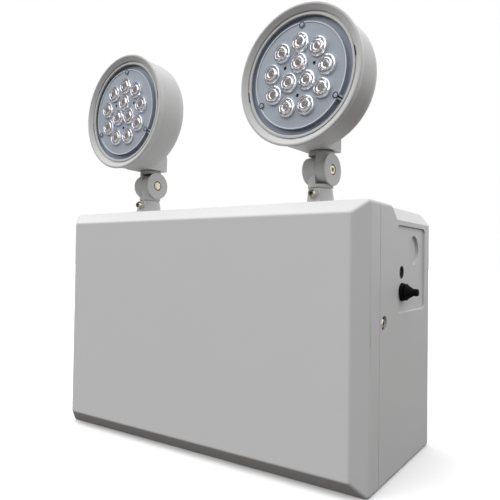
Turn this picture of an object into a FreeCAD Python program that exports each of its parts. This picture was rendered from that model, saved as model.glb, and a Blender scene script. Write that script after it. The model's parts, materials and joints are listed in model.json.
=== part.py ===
import FreeCAD, Part
import math
import os

# Twin-head emergency light: a wall-hung battery case with two adjustable LED heads on its top.
# Millimetres. X is to the right as seen from the front, +Y goes back to the wall, +Z is up.
# The origin is on the flat bottom of the case, under its middle.

V = FreeCAD.Vector
X_DIR = V(1, 0, 0)
Y_DIR = V(0, 1, 0)
Z_DIR = V(0, 0, 1)

# ---------------------------------------------------------------- case, outer form
case_width = 362.5
case_height = 239.0
case_depth = 174.0
wall = 3.0
edge_radius = 3.4
face_inset_side = 12.0          # the flat front face is smaller than the case by these three
face_inset_top = 11.0
face_inset_bottom = 14.0
cover_bevel_depth = 13.0
cover_depth = 33.0              # front face to the parting line
seam_gap = 0.8                  # the gasket's thickness, seen as a fine dark line

# sloped shoulders along the top of both sides, behind the neck area
shoulder_start = 59.0           # behind the front face
shoulder_ramp = 15.0
shoulder_width = 10.0
shoulder_drop = 12.7

# ---------------------------------------------------------------- side panel
panel_front = 76.0              # behind the front face
panel_length = 81.0
panel_bottom = 142.0
panel_height = 80.0
panel_corner = 4.5
panel_depth = 1.8
panel_wall = 3.4
knockout_radius = 14.1
knockout_depth = 2.4
knockout_y = 128.0
knockout_z = 200.0
indicator_z = 179.0
switch_z = 161.0
controls_y = 92.5               # the indicator and the test switch are in one column
indicator_hole_radius = 5.2
indicator_bevel = 1.0
switch_bushing_radius = 6.0
bushing_clearance = 0.2

# ---------------------------------------------------------------- cover screws and lugs
screw_y = 43.6                  # behind the front face
screw_z = 136.5
screw_counterbore_radius = 6.5
screw_counterbore_depth = 2.0
screw_head_radius = 3.8
screw_head_height = 1.5
screw_shank_radius = 1.7
screw_shank_length = 9.0
screw_clearance = 0.4
thread_play = 0.05              # threads are plain cylinders that pass by this much
lug_length = 17.0               # how far the lug reaches behind the parting line
lug_half_height = 9.0
lug_thickness = 7.0
fit_gap = 0.3                   # between plain faces that slide past each other
tab_half_width = 12.0
tab_thickness = 2.5
tab_length = 9.0
tab_spacing = 180.0

# ---------------------------------------------------------------- wall side
wall_hole_radius = 2.8
wall_hole_spacing_x = 280.0
wall_hole_spacing_z = 160.0
wall_hole_centre_z = 120.0
wall_boss_radius = 7.0
wall_boss_height = 4.0
cable_knockout_radius = 14.1
cable_knockout_depth = 1.8
cable_knockout_z = 105.0

# ---------------------------------------------------------------- necks
neck_spacing = 224.0
neck_y = 60.0                   # behind the front face
collar_top_radius = 11.2
collar_base_radius = 13.6
collar_height = 16.5
pad_half_width = 6.3            # flat pad on the front of the collar
pad_reach_top = 12.6
pad_reach_base = 15.5
lock_height = 11.4              # locking screw above the case top
lock_boss_radius = 4.4
lock_boss_reach = 16.5
lock_screw_radius = 2.4
lock_head_radius = 3.8
lock_head_height = 3.2
nipple_radius = 8.6
nipple_length = 12.0
nipple_bore_radius = 4.6
locknut_across_flats = 24.0
locknut_thickness = 5.0
stub_radius = 7.6
stub_length = 11.0
running_clearance = 0.08
stub_groove_depth = 1.2
stub_groove_width = 5.6

# ---------------------------------------------------------------- knuckles
knuckle_axis_above_collar = 18.0
knuckle_half_width = 13.2
knuckle_radius = 13.0
knuckle_disc_radius = 15.1
knuckle_disc_thickness = 1.8
knuckle_plain_rounding = 1.0    # at the end without a disc
knuckle_split = 1.0             # the joint plane lies this far outboard of the neck axis
split_gap = 0.3
neck_radius = 11.9
shoulder_gap = 0.8              # between a round half and the other piece's shoulder
neck_ring_height = 3.6          # the lower piece's ring, above its groove
head_ring_height = 3.0          # the upper piece's ring, under the head
head_groove_height = 1.3        # a narrower neck between that ring and the head
under_groove_height = 0.9
under_groove_depth = 1.2
wire_way_radius = 3.0
bolt_radius = 2.9
bolt_head_radius = 4.5
bolt_head_height = 3.0
bolt_head_sink = 0.5
bolt_head_clearance = 0.8
bolt_socket_across = 3.9
bolt_socket_depth = 2.0
knuckle_nut_across_flats = 8.0
knuckle_nut_thickness = 3.4
nut_pocket_depth = 4.4
nut_pocket_radius = 5.5
nut_pocket_play = 0.1
washer_thickness = 0.8
washer_radius = 5.2
bolt_end_beyond_nut = 0.5
head_stub_radius = 6.0
head_stub_length = 14.0
stub_nut_across_flats = 17.0
stub_nut_thickness = 4.0

# ---------------------------------------------------------------- lamp heads
head_axis_above_knuckle = 78.5
head_turn_at_rest = -4.1        # about the neck, from straight ahead
head_tilt_at_rest = 1.4         # upwards
rim_front = 45.4                # forward of the neck axis
rim_radius = 63.7
rim_rounding = 0.9
rim_land = 1.2
cone_inner_radius = 57.2
cone_depth = 2.9
groove_width = 1.6
groove_depth = 1.2
lip_depth = 3.2
lip_inner_radius = 53.4
lip_chamfer = 0.5
lip_thickness = 1.6
bezel_wall = 6.8                # rim front to the end of the bezel's outside
bezel_back_radius = 62.5
skirt_wall = 2.1
skirt_length = 7.4
gasket_radius = 56.3
gasket_width = 2.0
gasket_thickness = 1.2
slot_length = 9.5
slot_angle = 10.0
shell_radius = 61.6
shell_wall = 2.7
shell_straight = 21.3           # straight part behind the bezel
shell_dome_depth = 29.3
shell_shoulder_arc = 18.0
saddle_half_width = 14.5
saddle_front = 24.0
saddle_back = 13.0
saddle_height = 14.0
saddle_slope = 16.0
saddle_corner = 1.5

# optics
plate_radius = 47.9
plate_ring_width = 1.0
plate_ring_height = 0.6
plate_face_below_lip = 0.5
plate_thickness = 2.0
plate_side_wall = 1.8
annulus_below_gasket = 1.5
annulus_floor = 1.6
annulus_radius = 53.9
flange_radius = 55.9
optic_radius = 9.0
optic_dome_height = 3.2
optic_cone_tip_radius = 4.2
outer_optic_pitch = 29.4
outer_optic_count = 9
inner_optic_pitch = 11.0
inner_optic_count = 3
optic_turn = -3.0
plate_boss_pitch = 45.3
plate_boss_radius = 3.2
plate_boss_hole = 1.2
plate_channel_width = 1.6
plate_channel_depth = 1.4
plate_bridge_width = 4.0         # carries the channel across the annulus
plate_bridge_end = 53.0
plate_screw_pitch = 17.8
plate_screw_radius = 0.8
plate_screw_head_radius = 1.5
plate_screw_head_height = 0.8
chip_size = 3.5
chip_height = 1.0
chip_gap = 0.3
board_radius = 49.5
board_thickness = 1.6
board_below_plate = 10.5
sink_radius = 57.0
sink_thickness = 3.0
sink_play = 0.3
fin_count = 7
fin_height = 7.0
fin_thickness = 2.0
fin_spacing = 9.0
ledge_width = 5.0
ledge_height = 3.0

# ---------------------------------------------------------------- test switch and charge lamp
boot_radius = 8.2
boot_foot_height = 2.6
boot_waist_radius = 6.9
boot_ring_radius = 7.5
boot_ring_start = 3.4
boot_ring_end = 5.2
boot_cone_top_radius = 3.9
boot_cone_end = 10.0
boot_stem_radius = 3.3
boot_length = 15.5
boot_wall = 0.9
boot_tip_rounding = 0.8
button_radius = 1.7
button_travel = 1.8
button_foot_radius = 2.6
switch_bushing_proud = 2.2
switch_body_size = 14.0
switch_body_length = 15.0
switch_nut_across_flats = 15.0
switch_nut_thickness = 2.2
indicator_radius = 2.5
indicator_length = 8.6
indicator_set_back = 0.6
holder_radius = 6.6
holder_flange = 1.2
holder_length = 5.0

# ---------------------------------------------------------------- inside the case
battery_length = 151.0
battery_width = 98.0
battery_height = 94.0
battery_side_gap = 20.0          # from the case's left wall
battery_front = 52.0            # behind the front face
terminal_width = 6.3
terminal_height = 7.0
terminal_thickness = 0.8
terminal_spacing = 116.0
strap_width = 22.0
strap_thickness = 1.5
strap_gap = 0.3
strap_foot = 16.0
strap_screw_radius = 2.2
strap_screw_head_radius = 4.2
strap_screw_head_height = 2.2
core_width = 76.0
core_depth = 40.0
core_height = 64.0
core_left = 62.0
core_front = 80.0
core_window_width = 13.0
core_window_height = 39.0
coil_overhang = 12.0
coil_play = 0.4
board_left = -70.0
board_bottom = 122.0
charger_length = 150.0
charger_height = 88.0
charger_thickness = 1.6
standoff_radius = 3.4
standoff_height = 8.0
standoff_inset = 6.0
board_screw_radius = 1.4
board_screw_head_radius = 2.8
board_screw_head_height = 1.8
block_left = 100.0
block_length = 46.0
block_depth = 17.0
block_height = 19.0
block_bottom = 128.0
block_ways = 4

# ---------------------------------------------------------------- values worked out from those
half_width = case_width / 2
front_y = -case_depth / 2
back_y = case_depth / 2
housing_front_y = front_y + cover_depth + seam_gap
inner_half_width = half_width - wall
inner_back_y = back_y - wall
inner_top_z = case_height - wall
neck_x = neck_spacing / 2
neck_axis_y = front_y + neck_y
collar_top_z = case_height + collar_height
knuckle_z = collar_top_z + knuckle_axis_above_collar
shoulder_from_axis = knuckle_radius + shoulder_gap
head_ring_top = shoulder_from_axis + head_ring_height       # above the knuckle axis, as the next
saddle_bottom = head_ring_top + head_groove_height
panel_floor_x = half_width - panel_depth
battery_left = battery_side_gap - inner_half_width
panel_inner_x = panel_floor_x - panel_wall
controls_world_y = front_y + controls_y


def box(x0, x1, y0, y1, z0, z1):
    """A block between three pairs of limits."""
    return Part.makeBox(x1 - x0, y1 - y0, z1 - z0, V(x0, y0, z0))


def rod(radius, start, end):
    """A cylinder from one point to another."""
    line = end - start
    return Part.makeCylinder(radius, line.Length, start, line)


def prism(points, direction):
    """A polygon pushed along a direction."""
    wire = Part.makePolygon(points + [points[0]])
    return Part.Face(wire).extrude(direction)


def hexagon(across_flats, base, direction, turn=0.0):
    """A hexagonal bar: base is the centre of its first face, direction its length."""
    axis = V(direction).normalize()
    side = Z_DIR if abs(axis.z) < 0.5 else X_DIR
    across = axis.cross(side)
    corner = across_flats / math.sqrt(3)
    points = []
    for step in range(6):
        angle = math.radians(turn + 60 * step)
        points.append(base + side * (corner * math.cos(angle)) + across * (corner * math.sin(angle)))
    return prism(points, direction)


def turned(outline):
    """A solid of revolution about the head axis. The outline lists (radius, forward) pairs."""
    points = [V(radius, -forward, 0) for radius, forward in outline]
    wire = Part.makePolygon(points + [points[0]])
    return Part.Face(wire).revolve(V(0, 0, 0), Y_DIR, 360)


def disc(radius, back, front):
    """A disc about the head axis between two distances forward of the neck."""
    return rod(radius, V(0, -back, 0), V(0, -front, 0))


def edges_where(shape, test):
    """The straight edges of a shape that pass a test on their two end points."""
    found = []
    for edge in shape.Edges:
        if len(edge.Vertexes) == 2 and isinstance(edge.Curve, Part.Line):
            a, b = edge.Vertexes[0].Point, edge.Vertexes[1].Point
            if test(a, b):
                found.append(edge)
    return found


def close(a, b):
    return abs(a - b) < 1e-4


def mirrored(shape):
    return shape.mirror(V(0, 0, 0), X_DIR)


# ================================================================ housing
def shoulder_cutter(inset):
    """The corner taken off the top right edge of the case, with both its slopes moved inwards by inset."""
    slope = V(shoulder_drop, 0, shoulder_width).normalize() * inset
    low = V(half_width, 0, case_height - shoulder_drop) - slope
    high = V(half_width - shoulder_width, 0, case_height) - slope
    reach = low - high
    outer_low = low + reach * 2
    outer_high = high - reach * 2
    corner = V(outer_low.x, 0, outer_high.z)
    start = front_y + shoulder_start
    from_y = start - 2 * shoulder_ramp
    wedge = prism([V(p.x, from_y, p.z) for p in (outer_low, outer_high, corner)], Y_DIR * case_depth)

    ramp_in = V(0, shoulder_drop, shoulder_ramp).normalize() * inset
    ramp_run = V(0, shoulder_ramp, -shoulder_drop)
    left = V(half_width - 4 * shoulder_width, 0, 0)
    top = left + V(0, start, case_height) - ramp_in - ramp_run
    foot = top + ramp_run * 2.5
    end = back_y + 2 * wall
    below = foot.z - 2 * shoulder_drop
    above = case_height + 2 * shoulder_drop
    ramp_room = prism([top, foot, V(left.x, foot.y, below), V(left.x, end, below), V(left.x, end, above),
                       V(left.x, top.y, above)], X_DIR * (8 * shoulder_width))
    return wedge.common(ramp_room)


def panel_outline(x, grow=0.0):
    """The face of the side panel, a rectangle with round corners, at one X."""
    y0 = front_y + panel_front - grow
    y1 = y0 + panel_length + 2 * grow
    z0 = panel_bottom - grow
    z1 = z0 + panel_height + 2 * grow
    block = box(x, x + 1, y0, y1, z0, z1)
    corners = edges_where(block, lambda a, b: close(a.y, b.y) and close(a.z, b.z))
    rounded = block.makeFillet(panel_corner + grow, corners)
    for face in rounded.Faces:
        if close(face.BoundBox.XMin, x) and close(face.BoundBox.XMax, x):
            return face
    return None


def wall_hole_places():
    places = []
    for side in (-1, 1):
        for level in (-1, 1):
            places.append((side * wall_hole_spacing_x / 2, wall_hole_centre_z + level * wall_hole_spacing_z / 2))
    return places


def standoff_places():
    places = []
    for x in (board_left + standoff_inset, board_left + charger_length - standoff_inset):
        for z in (board_bottom + standoff_inset, board_bottom + charger_height - standoff_inset):
            places.append((x, z))
    return places


def strap_foot_places():
    left = battery_left - strap_gap - strap_thickness - strap_foot / 2
    right = battery_left + battery_length + strap_gap + strap_thickness + strap_foot / 2
    return (left, right)


def block_screw_places():
    return (block_left + block_length * 0.12, block_left + block_length * 0.88)


def make_housing():
    outer = box(-half_width, half_width, housing_front_y, back_y, 0, case_height)
    long_edges = edges_where(outer, lambda a, b: close(a.x, b.x) and close(a.z, b.z))
    back_edges = edges_where(outer, lambda a, b: close(a.y, back_y) and close(b.y, back_y))
    outer = outer.makeFillet(edge_radius, long_edges + back_edges)
    inner = box(-inner_half_width, inner_half_width, housing_front_y - wall, inner_back_y, wall, inner_top_z)
    right_cut = shoulder_cutter(0)
    right_inner = shoulder_cutter(wall)
    outer = outer.cut([right_cut, mirrored(right_cut)])
    inner = inner.cut([right_inner, mirrored(right_inner)])
    body = outer.cut(inner)

    panel_backing = panel_outline(panel_inner_x, wall).extrude(X_DIR * (inner_half_width - panel_inner_x + wall / 2))
    boss_backing = []
    for x, z in wall_hole_places():
        boss_backing.append(rod(wall_boss_radius, V(x, inner_back_y + wall / 2, z), V(x, inner_back_y - wall_boss_height, z)))
    for x, z in standoff_places():
        boss_backing.append(rod(standoff_radius, V(x, inner_back_y + wall / 2, z), V(x, inner_back_y - standoff_height, z)))
    body = body.fuse([panel_backing] + boss_backing).removeSplitter()

    tools = [panel_outline(panel_floor_x).extrude(X_DIR * (2 * panel_depth))]
    knockout = V(panel_floor_x - knockout_depth, front_y + knockout_y, knockout_z)
    tools.append(rod(knockout_radius, knockout, knockout + X_DIR * (2 * knockout_depth)))
    lamp_inner = V(panel_inner_x - wall, controls_world_y, indicator_z)
    lamp_face = V(panel_floor_x, controls_world_y, indicator_z)
    tools.append(rod(indicator_hole_radius, lamp_inner, lamp_face + X_DIR))
    tools.append(Part.makeCone(indicator_hole_radius, indicator_hole_radius + indicator_bevel, indicator_bevel,
                               lamp_face - X_DIR * indicator_bevel, X_DIR))
    switch_hole = switch_bushing_radius + bushing_clearance
    tools.append(rod(switch_hole, V(panel_inner_x - wall, controls_world_y, switch_z),
                     V(panel_floor_x + 1, controls_world_y, switch_z)))
    for side in (-1, 1):
        seat = V(side * (half_width - screw_counterbore_depth), front_y + screw_y, screw_z)
        outside = V(side * (half_width + wall), front_y + screw_y, screw_z)
        inside = V(side * (inner_half_width - wall), front_y + screw_y, screw_z)
        tools.append(rod(screw_counterbore_radius, seat, outside))
        tools.append(rod(screw_shank_radius + screw_clearance, inside, outside))
        neck = V(side * neck_x, neck_axis_y, 0)
        tools.append(rod(nipple_radius + bushing_clearance, neck + Z_DIR * (inner_top_z - 1),
                         neck + Z_DIR * (case_height + 1)))
        foot = strap_foot_places()[0 if side < 0 else 1]
        hole = V(foot, front_y + battery_front + battery_width / 2, 0)
        tools.append(rod(strap_screw_radius + thread_play, hole + Z_DIR, hole + Z_DIR * (wall + 1)))
    for x, z in wall_hole_places():
        tools.append(rod(wall_hole_radius, V(x, back_y + 1, z), V(x, inner_back_y - wall_boss_height - 1, z)))
    for x, z in standoff_places():
        tools.append(rod(board_screw_radius + thread_play, V(x, inner_back_y - standoff_height - 1, z),
                         V(x, inner_back_y - 1, z)))
    for x in block_screw_places():
        z = block_bottom + block_height / 2
        tools.append(rod(board_screw_radius + thread_play, V(x, inner_back_y - 1, z), V(x, inner_back_y + 2, z)))
    tools.append(rod(cable_knockout_radius, V(0, back_y + 1, cable_knockout_z),
                     V(0, back_y - cable_knockout_depth, cable_knockout_z)))
    return body.cut(tools)


# ================================================================ cover
def rectangle(width_half, y, z0, z1):
    points = [V(-width_half, y, z0), V(width_half, y, z0), V(width_half, y, z1), V(-width_half, y, z1)]
    return Part.makePolygon(points + [points[0]])


def cover_block(inset):
    """The cover's outer form, or the hollow in it when it is inset by the wall."""
    y0 = front_y + inset
    y1 = y0 + cover_bevel_depth
    y2 = front_y + cover_depth
    bevel_share = inset * 0.6
    front = rectangle(half_width - face_inset_side - bevel_share, y0, face_inset_bottom + bevel_share,
                      case_height - face_inset_top - bevel_share)
    middle = rectangle(half_width - inset, y1, inset, case_height - inset)
    bevel = Part.makeLoft([front, middle], True, True)
    end = y2 + (wall if inset else 0)
    band = box(-half_width + inset, half_width - inset, y1, end, inset, case_height - inset)
    return bevel.fuse(band).removeSplitter()


def lug_parts():
    """Two screw lugs at the sides and four locating tabs, on the cover's inside."""
    parts = []
    y0 = front_y + cover_depth - 2 * wall
    y1 = front_y + cover_depth + lug_length
    for side in (-1, 1):
        outer = side * (inner_half_width - fit_gap)
        inner = side * (inner_half_width - fit_gap - lug_thickness)
        z0, z1 = screw_z - lug_half_height, screw_z + lug_half_height
        tongue = box(min(outer, inner), max(outer, inner), y0, y1, z0, z1)
        root_x = side * (inner_half_width + wall / 2)
        root = box(min(root_x, inner), max(root_x, inner), y0, front_y + cover_depth, z0, z1)
        parts += [tongue, root]
        for level, z in ((-1, wall + fit_gap), (1, inner_top_z - fit_gap)):
            x = side * tab_spacing / 2
            z_in = z - level * tab_thickness
            tab_end = front_y + cover_depth + tab_length
            parts.append(box(x - tab_half_width, x + tab_half_width, y0, tab_end, min(z, z_in), max(z, z_in)))
            z_root = z + level * (fit_gap + wall / 2)
            parts.append(box(x - tab_half_width, x + tab_half_width, y0, front_y + cover_depth,
                             min(z_in, z_root), max(z_in, z_root)))
    return parts


def make_cover():
    outer = cover_block(0)
    rounded = []
    for edge in outer.Edges:
        ends = [v.Point for v in edge.Vertexes]
        if not all(close(p.y, front_y + cover_depth) for p in ends):
            rounded.append(edge)
    outer = outer.makeFillet(edge_radius, rounded)
    shell = outer.cut(cover_block(wall))
    body = shell.fuse(lug_parts()).removeSplitter()
    tools = []
    for side in (-1, 1):
        hole = V(side * inner_half_width, front_y + screw_y, screw_z)
        tools.append(rod(screw_shank_radius + thread_play, hole, hole - X_DIR * (side * (lug_thickness + 2))))
    return body.cut(tools)


def make_cover_gasket():
    y0 = front_y + cover_depth
    outer_inset = 1.2
    width = 1.7
    inner_inset = outer_inset + width
    outer = box(-half_width + outer_inset, half_width - outer_inset, y0, y0 + seam_gap,
                outer_inset, case_height - outer_inset)
    inner = box(-half_width + inner_inset, half_width - inner_inset, y0 - 1, y0 + seam_gap + 1,
                inner_inset, case_height - inner_inset)
    return outer.cut(inner)


def pan_screw(head_radius, head_height, shank_radius, shank_length, seat, direction):
    """A screw whose head stands on seat; direction is the way the head points."""
    rim = 0.45 * head_height
    outline = [
        V(0, 0, -shank_length), V(shank_radius, 0, -shank_length), V(shank_radius, 0, 0), V(head_radius, 0, 0),
        V(head_radius, 0, rim), V(0.72 * head_radius, 0, head_height), V(0, 0, head_height),
    ]
    screw = Part.Face(Part.makePolygon(outline + [outline[0]])).revolve(V(0, 0, 0), Z_DIR, 360)
    arm = 0.55 * head_radius
    slot = 0.16 * head_radius
    top = head_height
    cross = box(-arm, arm, -slot, slot, top - rim, top + 1).fuse(box(-slot, slot, -arm, arm, top - rim, top + 1))
    screw = screw.cut(cross)
    screw.Placement = FreeCAD.Placement(seat, FreeCAD.Rotation(Z_DIR, direction))
    return screw


def make_cover_screws():
    screws = []
    for side in (-1, 1):
        seat = V(side * (half_width - screw_counterbore_depth), front_y + screw_y, screw_z)
        screws.append(pan_screw(screw_head_radius, screw_head_height, screw_shank_radius, screw_shank_length,
                                seat, X_DIR * side))
    return Part.makeCompound(screws)


# ================================================================ test switch and charge lamp
def along_x(outline, x0, y, z):
    """A solid of revolution about a line along X. The outline lists (distance, radius) pairs."""
    points = [V(x0 + distance, y + radius, z) for distance, radius in outline]
    wire = Part.makePolygon(points + [points[0]])
    return Part.Face(wire).revolve(V(x0, y, z), X_DIR, 360)


def make_switch_boot():
    w = boot_wall
    bore = switch_bushing_radius + thread_play
    stem_bore = button_radius + fit_gap
    outline = [
        (0, bore), (0, boot_radius), (boot_foot_height, boot_radius),
        (boot_foot_height + 0.4, boot_waist_radius), (boot_ring_start, boot_ring_radius),
        (boot_ring_end, boot_ring_radius), (boot_ring_end + 0.6, boot_waist_radius - 0.3),
        (boot_cone_end, boot_cone_top_radius), (boot_cone_end + 0.5, boot_stem_radius),
        (boot_length - boot_tip_rounding, boot_stem_radius), (boot_length, boot_stem_radius - boot_tip_rounding),
        (boot_length, 0), (boot_length - 2 * w, 0), (boot_length - 2 * w, stem_bore),
        (boot_cone_end, stem_bore), (boot_ring_end, bore - w),
        (switch_bushing_proud + fit_gap, bore - w), (switch_bushing_proud + fit_gap, bore),
    ]
    return along_x(outline, panel_floor_x, controls_world_y, switch_z)


def make_switch_body():
    back = panel_inner_x - switch_body_length
    front = panel_inner_x
    h = switch_body_size / 2
    y, z = controls_world_y, switch_z
    body = box(back, front, y - h, y + h, z - h, z + h)
    bushing = rod(switch_bushing_radius, V(front - 1, y, z), V(panel_floor_x + switch_bushing_proud, y, z))
    bore = button_radius + running_clearance
    foot = button_foot_radius + running_clearance
    body = body.fuse(bushing).removeSplitter()
    foot_room = front - switch_body_length * 0.45
    body = body.cut([
        rod(bore, V(foot_room, y, z), V(panel_floor_x + 20, y, z)),
        rod(foot, V(foot_room, y, z), V(foot_room + 2 + button_travel + fit_gap, y, z)),
    ])
    tags = []
    for offset in (-4.0, 4.0):
        tags.append(box(back - 7, back + 1, y + offset - 0.4, y + offset + 0.4, z - 1.4, z + 1.4))
    return body.fuse(tags).removeSplitter()


def make_test_button():
    foot_room = panel_inner_x - switch_body_length * 0.45
    start = foot_room + button_travel + fit_gap
    end = boot_length - 2 * boot_wall - fit_gap
    y, z = controls_world_y, switch_z
    stem = rod(button_radius, V(start, y, z), V(panel_floor_x + end, y, z))
    foot = rod(button_foot_radius, V(start, y, z), V(start + 2 - fit_gap, y, z))
    return stem.fuse(foot).removeSplitter()


def make_indicator():
    front = panel_floor_x - indicator_bevel - indicator_set_back
    y, z = controls_world_y, indicator_z
    r = indicator_radius
    barrel = rod(r, V(front - indicator_length, y, z), V(front - r, y, z))
    dome = Part.makeSphere(r, V(front - r, y, z), X_DIR, 0, 90, 360)
    foot = rod(r + 0.4, V(front - indicator_length - 1, y, z), V(front - indicator_length, y, z))
    return barrel.fuse([dome, foot]).removeSplitter()


def make_indicator_holder():
    y, z = controls_world_y, indicator_z
    front = panel_inner_x + 1.4
    flange = rod(holder_radius, V(panel_inner_x - holder_flange, y, z), V(panel_inner_x, y, z))
    nose = rod(indicator_hole_radius - running_clearance, V(panel_inner_x - 1, y, z), V(front, y, z))
    sleeve = rod(indicator_radius + 1.2, V(panel_inner_x - holder_length, y, z), V(panel_inner_x, y, z))
    bore = rod(indicator_radius + running_clearance, V(panel_inner_x - holder_length - 1, y, z), V(front + 1, y, z))
    return flange.fuse([nose, sleeve]).removeSplitter().cut(bore)


# ================================================================ necks
def at_neck(shape, side):
    """Moves a shape that was made round the origin to one neck, its base on the case top."""
    moved = shape.copy()
    moved.translate(V(side * neck_x, neck_axis_y, case_height))
    return moved


def make_collar():
    cone = Part.makeCone(collar_base_radius, collar_top_radius, collar_height)
    side_points = [V(-pad_half_width, 0, 0), V(-pad_half_width, -pad_reach_base, 0),
                   V(-pad_half_width, -pad_reach_top, collar_height), V(-pad_half_width, 0, collar_height)]
    pad = prism(side_points, X_DIR * (2 * pad_half_width))
    boss = rod(lock_boss_radius, V(0, 0, lock_height), V(0, -lock_boss_reach, lock_height))
    nipple = rod(nipple_radius, V(0, 0, -nipple_length), V(0, 0, 1))
    body = cone.fuse([pad, boss, nipple]).removeSplitter()
    socket = rod(stub_radius + running_clearance, V(0, 0, collar_height - stub_length - fit_gap), V(0, 0, collar_height + 1))
    bore = rod(nipple_bore_radius, V(0, 0, -nipple_length - 1), V(0, 0, collar_height))
    screw_hole = rod(lock_screw_radius + thread_play, V(0, 0, lock_height), V(0, -lock_boss_reach - 1, lock_height))
    return body.cut([socket, bore, screw_hole])


def make_locknut():
    top = -wall
    nut = hexagon(locknut_across_flats, V(0, 0, top - locknut_thickness), Z_DIR * locknut_thickness)
    return nut.cut(rod(nipple_radius + thread_play, V(0, 0, top - locknut_thickness - 1), V(0, 0, top + 1)))


def make_lock_screw():
    seat = V(0, -lock_boss_reach, lock_height)
    length = lock_boss_reach - stub_radius + stub_groove_depth / 2
    return pan_screw(lock_head_radius, lock_head_height, lock_screw_radius, length, seat, V(0, -1, 0))


# ================================================================ knuckles, round the tilt axis at the origin
def half_barrel(x_split, x_end, rimmed):
    """One half of the round knuckle, from the joint plane to its end, which has a raised rim or is plain."""
    sign = 1 if x_end > x_split else -1
    barrel = rod(knuckle_radius, V(x_split, 0, 0), V(x_end, 0, 0))
    if not rimmed:
        corner = [edge for edge in barrel.Edges if close(edge.BoundBox.XMin, x_end) and close(edge.BoundBox.XMax, x_end)]
        return barrel.makeFillet(knuckle_plain_rounding, corner)
    rim = rod(knuckle_disc_radius, V(x_end - sign * knuckle_disc_thickness, 0, 0), V(x_end, 0, 0))
    return barrel.fuse(rim)


def disc_relief(sign):
    """Room in one piece's shoulder for the end disc of the other piece."""
    inner = knuckle_half_width - knuckle_disc_thickness - fit_gap
    return rod(knuckle_disc_radius + shoulder_gap, V(sign * inner, 0, 0), V(sign * (knuckle_half_width + 1), 0, 0))


def make_lower_knuckle(side):
    """The piece that turns in the collar. Its half of the knuckle is on the inboard side."""
    rimmed = side < 0
    stub_end = -knuckle_axis_above_collar - stub_length
    ring_foot = -shoulder_from_axis - neck_ring_height + under_groove_height
    split = knuckle_split - split_gap / 2
    neck = rod(neck_radius, V(0, 0, ring_foot), V(0, 0, 0))
    keep = box(-2 * neck_radius, split, -2 * neck_radius, 2 * neck_radius, -2 * neck_radius, 0)
    web = neck.common(keep)
    ring = rod(neck_radius, V(0, 0, ring_foot), V(0, 0, -shoulder_from_axis))
    throat = rod(neck_radius - under_groove_depth, V(0, 0, -knuckle_axis_above_collar + fit_gap), V(0, 0, ring_foot))
    stub = rod(stub_radius, V(0, 0, stub_end), V(0, 0, ring_foot))
    body = half_barrel(split, -knuckle_half_width, rimmed).fuse([web, ring, throat, stub]).removeSplitter()
    groove_z = lock_height - collar_height - knuckle_axis_above_collar
    groove_ring = rod(stub_radius + 1, V(0, 0, groove_z - stub_groove_width / 2), V(0, 0, groove_z + stub_groove_width / 2))
    groove_core = rod(stub_radius - stub_groove_depth, V(0, 0, groove_z - stub_groove_width),
                      V(0, 0, groove_z + stub_groove_width))
    pocket_floor = -knuckle_half_width + nut_pocket_depth
    if not rimmed:
        body = body.cut(disc_relief(1))
    return body.cut([
        groove_ring.cut(groove_core),
        rod(bolt_radius + thread_play, V(-2 * knuckle_half_width, 0, 0), V(split + 1, 0, 0)),
        rod(nut_pocket_radius, V(-knuckle_half_width - 1, 0, 0), V(pocket_floor, 0, 0)),
        rod(wire_way_radius, V(0, 0, stub_end - 1), V(0, 0, -shoulder_from_axis + 2)),
    ])


def make_upper_knuckle(side):
    """The piece under the lamp head. Its half of the knuckle is on the outboard side."""
    rimmed = side > 0
    split = knuckle_split + split_gap / 2
    neck = rod(neck_radius, V(0, 0, 0), V(0, 0, shoulder_from_axis + 1))
    keep = box(split, 2 * neck_radius, -2 * neck_radius, 2 * neck_radius, 0, 2 * neck_radius)
    web = neck.common(keep)
    ring = rod(neck_radius, V(0, 0, shoulder_from_axis), V(0, 0, head_ring_top))
    spacer = rod(neck_radius - under_groove_depth, V(0, 0, head_ring_top), V(0, 0, saddle_bottom))
    stub = rod(head_stub_radius, V(0, 0, shoulder_from_axis), V(0, 0, saddle_bottom + head_stub_length))
    body = half_barrel(split, knuckle_half_width, rimmed).fuse([web, ring, spacer, stub]).removeSplitter()
    counterbore_floor = knuckle_half_width - bolt_head_sink - bolt_head_height
    if not rimmed:
        body = body.cut(disc_relief(-1))
    return body.cut([
        rod(bolt_radius + thread_play, V(split - 1, 0, 0), V(2 * knuckle_half_width, 0, 0)),
        rod(bolt_head_radius + bolt_head_clearance, V(counterbore_floor, 0, 0), V(knuckle_half_width + 1, 0, 0)),
        rod(wire_way_radius, V(0, 0, shoulder_from_axis), V(0, 0, saddle_bottom + head_stub_length + 1)),
    ])


def make_knuckle_bolt():
    head_floor = knuckle_half_width - bolt_head_sink - bolt_head_height
    pocket_floor = -knuckle_half_width + nut_pocket_depth
    end = pocket_floor - washer_thickness - knuckle_nut_thickness - bolt_end_beyond_nut
    shank = rod(bolt_radius, V(end, 0, 0), V(head_floor, 0, 0))
    head = rod(bolt_head_radius, V(head_floor, 0, 0), V(head_floor + bolt_head_height, 0, 0))
    face = [edge for edge in head.Edges if close(edge.BoundBox.XMin, head_floor + bolt_head_height)]
    head = head.makeChamfer(0.6, face)
    half = bolt_socket_across / 2
    top = head_floor + bolt_head_height
    socket = box(top - bolt_socket_depth, top + 1, -half, half, -half, half)
    return shank.fuse(head).removeSplitter().cut(socket)


def make_knuckle_washer():
    floor = -knuckle_half_width + nut_pocket_depth
    ring = rod(washer_radius, V(floor - washer_thickness, 0, 0), V(floor, 0, 0))
    return ring.cut(rod(bolt_radius + thread_play, V(floor - washer_thickness - 1, 0, 0), V(floor + 1, 0, 0)))


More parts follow.
